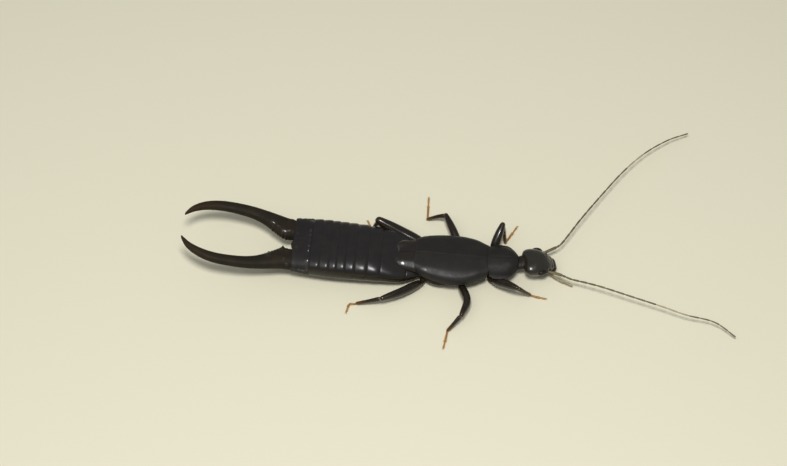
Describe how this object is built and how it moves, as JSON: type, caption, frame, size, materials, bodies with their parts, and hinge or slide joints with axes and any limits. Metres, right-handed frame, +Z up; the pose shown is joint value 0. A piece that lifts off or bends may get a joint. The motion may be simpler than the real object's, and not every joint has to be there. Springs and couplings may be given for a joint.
{
  "type": "black earwig",
  "caption": "Life-size standing male earwig with bowed toothed pincers, short wing covers, long jointed feelers and amber feet.",
  "frame": {"origin": "on the floor under the middle of the whole animal's box", "axes": "+X towards the head along the body, +Y to the animal's left, +Z up from the floor"},
  "size_m": [0.0424, 0.022, 0.0035],
  "materials": {
    "shell_black": "satin black shell, finely pitted",
    "gloss_black": "glossy brown-black shell of pincers and legs",
    "eye_black": "glossy black, finely faceted",
    "underside_brown": "satin dark brown",
    "feeler_brown": "dull brown-black with a pale band near the tip",
    "foot_amber": "dull amber"
  },
  "bodies": {
    "root": {"abdomen_1": "shell_black", "abdomen_2": "shell_black", "abdomen_3": "shell_black", "abdomen_4": "shell_black", "abdomen_5": "shell_black", "abdomen_6": "shell_black", "abdomen_7": "shell_black", "abdomen_8": "shell_black", "abdomen_9": "shell_black", "abdomen_10": "shell_black", "antenna_left": "feeler_brown", "antenna_right": "feeler_brown", "eye_left": "eye_black", "eye_right": "eye_black", "forceps_left": "gloss_black", "forceps_right": "gloss_black", "head": "shell_black", "labrum": "gloss_black", "mandible_left": "gloss_black", "mandible_right": "gloss_black", "neck": "underside_brown", "palp_left": "feeler_brown", "palp_right": "feeler_brown", "pronotum": "shell_black", "prothorax": "underside_brown", "pygidium": "gloss_black", "sternum": "underside_brown", "tegmen_left": "shell_black", "tegmen_right": "shell_black", "thorax": "underside_brown", "wing_tip_left": "shell_black", "wing_tip_right": "shell_black", "leg_front_left_coxa": "underside_brown", "leg_front_left_femur": "gloss_black", "leg_front_left_tibia": "gloss_black", "leg_front_left_tarsus": "foot_amber", "leg_front_right_coxa": "underside_brown", "leg_front_right_femur": "gloss_black", "leg_front_right_tibia": "gloss_black", "leg_front_right_tarsus": "foot_amber", "leg_middle_left_coxa": "underside_brown", "leg_middle_left_femur": "gloss_black", "leg_middle_left_tibia": "gloss_black", "leg_middle_left_tarsus": "foot_amber", "leg_middle_right_coxa": "underside_brown", "leg_middle_right_femur": "gloss_black", "leg_middle_right_tibia": "gloss_black", "leg_middle_right_tarsus": "foot_amber", "leg_hind_left_coxa": "underside_brown", "leg_hind_left_femur": "gloss_black", "leg_hind_left_tibia": "gloss_black", "leg_hind_left_tarsus": "foot_amber", "leg_hind_right_coxa": "underside_brown", "leg_hind_right_femur": "gloss_black", "leg_hind_right_tibia": "gloss_black", "leg_hind_right_tarsus": "foot_amber"}
  },
  "joints": []
}
